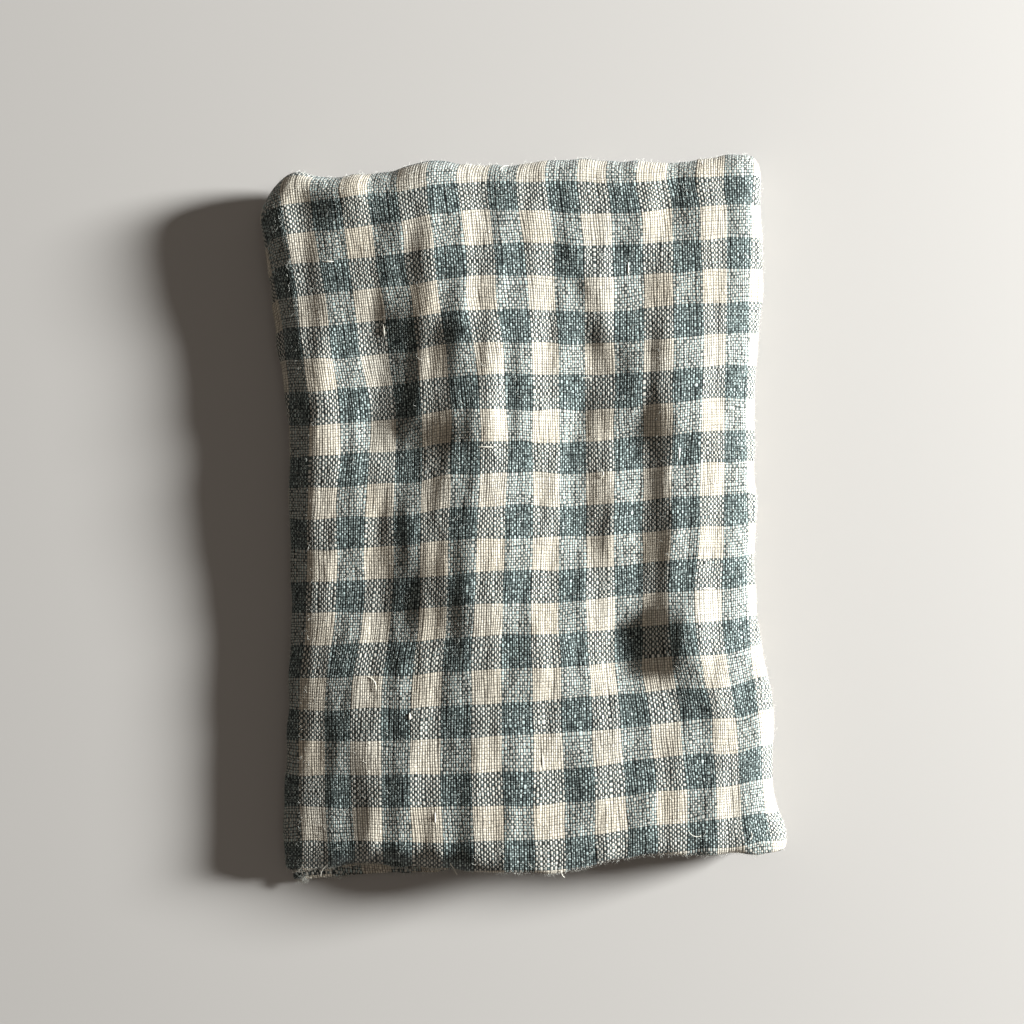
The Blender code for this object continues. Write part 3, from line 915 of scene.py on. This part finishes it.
def linen():
    material = bpy.data.materials.new("linen_check")
    m = Tree(material)
    uv = m.nodes.new("ShaderNodeUVMap")
    uv.uv_map = "threads"
    split = m.nodes.new("ShaderNodeSeparateXYZ")
    m.link(uv.outputs[0], split.inputs[0])
    u0, v0 = split.outputs[0], split.outputs[1]

    # Hand-washed linen: no thread runs straight or keeps its distance.
    def wander(main, other, amount, near, seed):
        slow = m.noise(m.vector(m.math("MULTIPLY", main, 0.07), m.math("MULTIPLY", other, 0.045), seed), 1.0, 1.0)
        quick = m.noise(m.vector(m.math("MULTIPLY", main, 0.62), m.math("MULTIPLY", other, 0.055), seed + 7.0), 1.0)
        out = m.math("MULTIPLY_ADD", m.math("SUBTRACT", slow, 0.5), amount, main)
        return m.math("MULTIPLY_ADD", m.math("SUBTRACT", quick, 0.5), near, out)

    u = wander(u0, v0, 1.5, 1.2, 3.1)
    v = wander(v0, u0, 1.9, 1.2, 14.7)
    iu, jv = m.math("FLOOR", u), m.math("FLOOR", v)
    fu = m.math("SUBTRACT", m.math("SUBTRACT", u, iu), 0.5)
    fv = m.math("SUBTRACT", m.math("SUBTRACT", v, jv), 0.5)
    odd = m.math("FLOORED_MODULO", m.math("ADD", iu, jv), 2.0)
    sign = m.math("MULTIPLY_ADD", odd, -2.0, 1.0)

    # Each thread has its own thickness, thin and thick along its length.
    warp_id = m.vector(m.math("MULTIPLY", iu, 7.31), m.math("MULTIPLY", v, 0.20), 2.0)
    weft_id = m.vector(m.math("MULTIPLY", jv, 5.77), m.math("MULTIPLY", u, 0.17), 9.0)
    warp_n = m.noise(warp_id, 1.0, 1.0)
    weft_n = m.noise(weft_id, 1.0, 1.0)
    knot_n = m.noise(m.vector(m.math("MULTIPLY", iu, 3.71), m.math("MULTIPLY", jv, 4.13), 6.0), 1.0)
    warp_w = m.spread(warp_n, 0.25, 0.75, 0.30, 0.47)
    weft_w = m.spread(weft_n, 0.25, 0.75, 0.34, 0.50)

    def round_top(offset, width):
        ratio = m.math("DIVIDE", offset, width)
        return m.math("MAXIMUM", m.math("SUBTRACT", 1.0, m.math("MULTIPLY", ratio, ratio)), -0.8)

    def crest(offset):
        return m.math("COSINE", m.math("MULTIPLY", offset, math.pi))

    # The warp rises further than the weft, so its ribs show.
    warp_round, weft_round = round_top(fu, warp_w), round_top(fv, weft_w)
    warp_rise = m.math("MULTIPLY", sign, crest(fv))
    weft_rise = m.math("MULTIPLY", m.math("MULTIPLY", sign, crest(fu)), -1.0)
    warp_h = m.math("ADD", m.math("MULTIPLY", warp_rise, 0.62), m.math("MULTIPLY_ADD", warp_round, 0.56, 0.10))
    weft_h = m.math("ADD", m.math("MULTIPLY", weft_rise, 0.52), m.math("MULTIPLY", weft_round, 0.50))
    warp_over = m.math("GREATER_THAN", warp_h, weft_h)
    height = m.math("MAXIMUM", warp_h, weft_h)

    def choose(for_weft, for_warp):
        node = m.nodes.new("ShaderNodeMix")
        node.data_type = "FLOAT"
        m.put(node.inputs[0], warp_over)
        m.put(node.inputs[2], for_weft)
        m.put(node.inputs[3], for_warp)
        return node.outputs[0]

    warp_pale = m.math("LESS_THAN", m.math("FRACT", m.math("DIVIDE", iu, 2.0 * CHECK)), 0.4999)
    weft_pale = m.math("GREATER_THAN", m.math("FRACT", m.math("DIVIDE", m.math("ADD", jv, 0.5), 2.0 * CHECK)), 0.5)
    pale = choose(weft_pale, warp_pale)
    grain = choose(weft_n, warp_n)

    # How full a thread's top is: full on its crest, low on its flanks and where
    # it dives. It sets painted shade on flanks and dives, and where the painted
    # highlight on dyed crests goes.
    warp_top = m.math(
        "MULTIPLY",
        m.spread(warp_round, 0.05, 0.85, 0.16, 1.0, "SMOOTHSTEP"),
        m.spread(warp_rise, -0.55, 0.75, 0.42, 1.0, "SMOOTHSTEP"),
    )
    weft_top = m.math(
        "MULTIPLY",
        m.spread(weft_round, 0.05, 0.80, 0.30, 0.84, "SMOOTHSTEP"),
        m.spread(weft_rise, 0.00, 0.90, 0.34, 0.92, "SMOOTHSTEP"),
    )
    top = choose(weft_top, warp_top)

    # Fibres in the yarn, and slow changes of tone over the cloth.
    fibre = m.noise(m.vector(m.math("MULTIPLY", u, 1.7), m.math("MULTIPLY", v, 1.1), 5.0), 2.2, 3.0, 0.65)
    tone = m.noise(m.vector(m.math("MULTIPLY", u0, 0.03), m.math("MULTIPLY", v0, 0.03), 1.0), 1.0, 2.0)
    warm = m.math("ADD", m.math("MULTIPLY", fibre, 0.7), m.math("MULTIPLY", tone, 0.5))
    # Pale on pale gets painted warm bounce light; beside dyed threads, painted shade greys it.
    both = m.math("MULTIPLY", warp_pale, weft_pale)
    warm = m.math("ADD", m.math("MULTIPLY_ADD", both, 0.26, -0.10), warm)
    pale_colour = m.mix(m.spread(warm, 0.42, 0.88), PALE, PALE_WARM)
    pale_colour = m.mix(m.math("MULTIPLY_ADD", both, -0.24, 0.24), pale_colour, PALE_PAINTED_SHADE)
    # Dyed threads get a painted highlight, small grey flecks on their crests, and pale flecks at random.
    lit = m.math("MULTIPLY", m.spread(top, 0.42, 1.0), m.spread(knot_n, 0.32, 0.66, 0.22, 1.25))
    lit = m.math("MULTIPLY", lit, choose(0.55, 1.0), clamp=True)
    slate_colour = m.mix(lit, SLATE, SLATE_PAINTED_HIGHLIGHT)
    colour = m.mix(pale, slate_colour, pale_colour)
    fleck = m.noise(m.vector(m.math("MULTIPLY", u, 1.25), m.math("MULTIPLY", v, 1.15), 21.0), 1.0, 1.0)
    fleck = m.math("MULTIPLY", m.spread(fleck, 0.58, 0.76), m.math("SUBTRACT", 1.0, pale))
    colour = m.mix(fleck, colour, FLECK)
    # Each thread's and knot's own tone, times painted shade: darker in the hollows between threads and on their
    # flanks, lifted a little in pale on pale.
    bright = m.math("MULTIPLY", m.spread(grain, 0.25, 0.75, 0.90, 1.10), m.spread(knot_n, 0.25, 0.75, 0.90, 1.08))
    hollow_shade = m.spread(height, 0.05, 0.75, 0.10, 1.0, "SMOOTHSTEP")
    shade = m.math("MULTIPLY", bright, m.math("MULTIPLY", hollow_shade, m.spread(top, 0.0, 1.0, 0.12, 1.0)))
    shade = m.math("MAXIMUM", shade, m.math("MULTIPLY", both, 0.27))
    grey = m.nodes.new("ShaderNodeCombineColor")
    for socket in grey.inputs[:3]:
        m.link(shade, socket)
    colour = m.mix(1.0, colour, grey.outputs[0], "MULTIPLY")
    m.link(colour, m.shader.inputs["Base Color"])

    m.link(m.spread(fibre, 0.2, 0.8, 0.78, 0.96), m.shader.inputs["Roughness"])
    m.shader.inputs["Specular IOR Level"].default_value = 0.16
    m.shader.inputs["Sheen Weight"].default_value = 0.09
    m.shader.inputs["Sheen Roughness"].default_value = 0.5
    m.shader.inputs["Sheen Tint"].default_value = (0.92, 0.95, 1.0, 1.0)

    relief_height = m.math("MULTIPLY_ADD", fibre, 0.22, height)
    bump = m.nodes.new("ShaderNodeBump")
    bump.inputs["Strength"].default_value = 0.62
    bump.inputs["Distance"].default_value = 0.00020
    m.link(relief_height, bump.inputs["Height"])
    crinkle = m.noise(m.vector(m.math("MULTIPLY", u0, 0.22), m.math("MULTIPLY", v0, 0.10), 4.0), 1.0, 2.0)
    soft = m.nodes.new("ShaderNodeBump")
    soft.inputs["Strength"].default_value = 0.5
    soft.inputs["Distance"].default_value = 0.0011
    m.link(crinkle, soft.inputs["Height"])
    m.link(soft.outputs[0], bump.inputs["Normal"])
    m.link(bump.outputs[0], m.shader.inputs["Normal"])
    return material


def yarn(name, colour):
    material = bpy.data.materials.new(name)
    material.use_nodes = True
    shader = material.node_tree.nodes["Principled BSDF"]
    shader.inputs["Base Color"].default_value = colour
    shader.inputs["Roughness"].default_value = 0.9
    shader.inputs["Specular IOR Level"].default_value = 0.15
    shader.inputs["Sheen Weight"].default_value = 0.15
    return material


def floor_and_light():
    bpy.ops.mesh.primitive_plane_add(size=6.0, location=(0, 0, -0.0004))
    floor = bpy.context.active_object
    floor.name = "floor"
    material = bpy.data.materials.new("pale_floor")
    material.use_nodes = True
    shader = material.node_tree.nodes["Principled BSDF"]
    shader.inputs["Base Color"].default_value = (0.415, 0.385, 0.362, 1.0)
    shader.inputs["Roughness"].default_value = 0.75
    shader.inputs["Specular IOR Level"].default_value = 0.2
    floor.data.materials.append(material)

    def lamp(name, place, size, power, colour):
        data = bpy.data.lights.new(name, "AREA")
        data.shape = "DISK"
        data.size = size
        data.energy = power
        data.color = colour
        obj = bpy.data.objects.new(name, data)
        obj.location = place
        obj.rotation_euler = (Vector((0, 0, 0.01)) - Vector(place)).to_track_quat("-Z", "Y").to_euler()
        bpy.context.scene.collection.objects.link(obj)

    lamp("window", (1.775, 0.426, 0.60), 0.44, 181.0, (0.93, 0.985, 1.0))
    lamp("above", (0.1, 0.2, 1.6), 1.2, 1.6, (1.0, 0.97, 0.93))
    world = bpy.data.worlds.new("room")
    world.use_nodes = True
    world.node_tree.nodes["Background"].inputs[0].default_value = (1.0, 0.91, 0.80, 1.0)
    world.node_tree.nodes["Background"].inputs[1].default_value = 0.13
    bpy.context.scene.world = world


def camera():
    data = bpy.data.cameras.new("camera")
    data.lens = 50.0
    data.sensor_width = 36.0
    data.clip_start = 0.01
    obj = bpy.data.objects.new("camera", data)
    obj.location = ((EYE[0] - CENTRE[0]) * MM, (EYE[1] - CENTRE[1]) * MM, EYE_HEIGHT * MM)
    obj.rotation_euler = (0.0, 0.0, 0.0)
    bpy.context.scene.collection.objects.link(obj)
    bpy.context.scene.camera = obj


def main():
    bpy.context.scene.view_settings.view_transform = "Standard"
    bpy.context.scene.view_settings.look = "None"
    bag = cloth()
    bag.data.materials.append(linen())
    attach(bag, "root")
    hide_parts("bag")
    fine = [lint(), loose_threads(), hem_stitches()]
    pale = yarn("linen_yarn", (0.72, 0.67, 0.58, 1.0))
    soft = yarn("linen_lint", (0.66, 0.64, 0.58, 1.0))
    for piece, material in zip(fine, (soft, pale, pale)):
        piece.data.materials.append(material)
        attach(piece, "root")
    floor_and_light()
    camera()


main()
